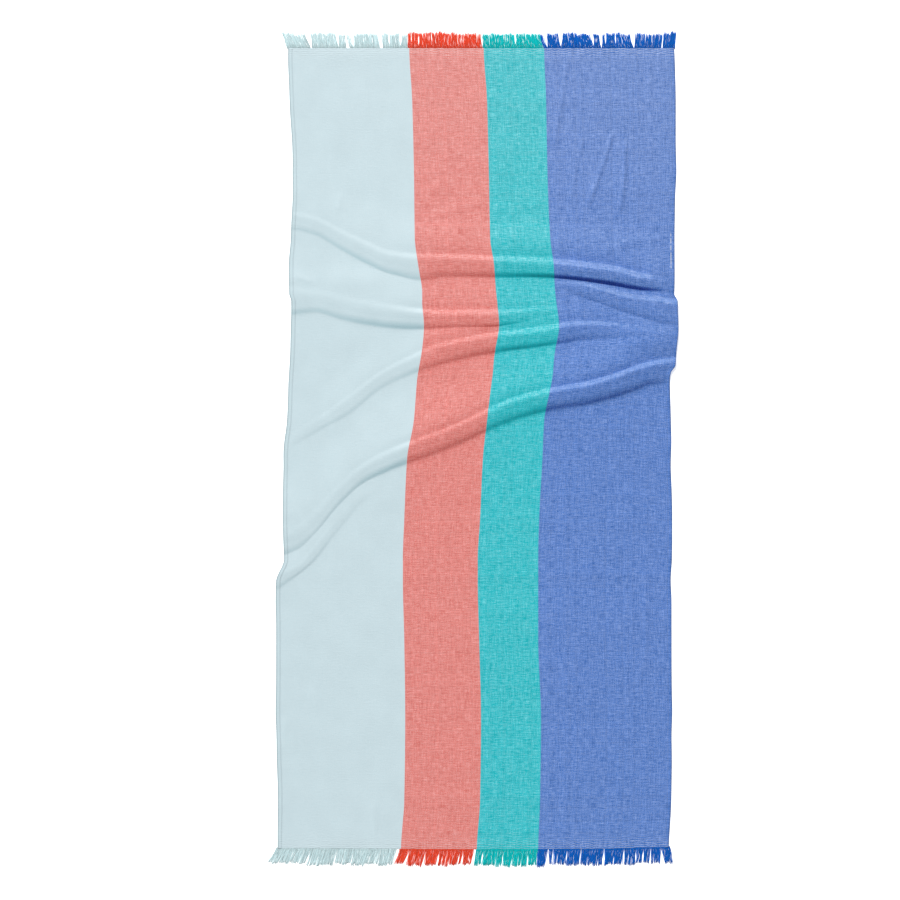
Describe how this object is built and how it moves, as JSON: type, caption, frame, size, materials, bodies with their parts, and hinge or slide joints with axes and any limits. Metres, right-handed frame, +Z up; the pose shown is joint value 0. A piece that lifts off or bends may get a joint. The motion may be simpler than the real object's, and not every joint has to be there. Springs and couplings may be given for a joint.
{
  "type": "turkish towel laid out flat",
  "caption": "Flat-woven cotton towel with lengthwise colour stripes and a short fringe at both ends, laid out with rumpled folds.",
  "frame": {"origin": "on the surface that the towel lies on, under the middle of its bounding box", "axes": "+X across the towel towards the blue edge, +Y along the towel towards its top end, +Z up"},
  "size_m": [0.8888, 1.8086, 0.0187],
  "materials": {
    "woven_cloth": "matte flat-woven cotton in pale aqua, coral, teal and blue stripes",
    "pale_yarn": "matte cotton yarn",
    "coral_yarn": "matte cotton yarn",
    "teal_yarn": "matte cotton yarn",
    "blue_yarn": "matte cotton yarn"
  },
  "bodies": {
    "root": {"cloth": "woven_cloth", "fringe_top_pale": "pale_yarn", "fringe_top_coral": "coral_yarn", "fringe_top_teal": "teal_yarn", "fringe_top_blue": "blue_yarn", "fringe_bottom_pale": "pale_yarn", "fringe_bottom_coral": "coral_yarn", "fringe_bottom_teal": "teal_yarn", "fringe_bottom_blue": "blue_yarn"}
  },
  "joints": []
}
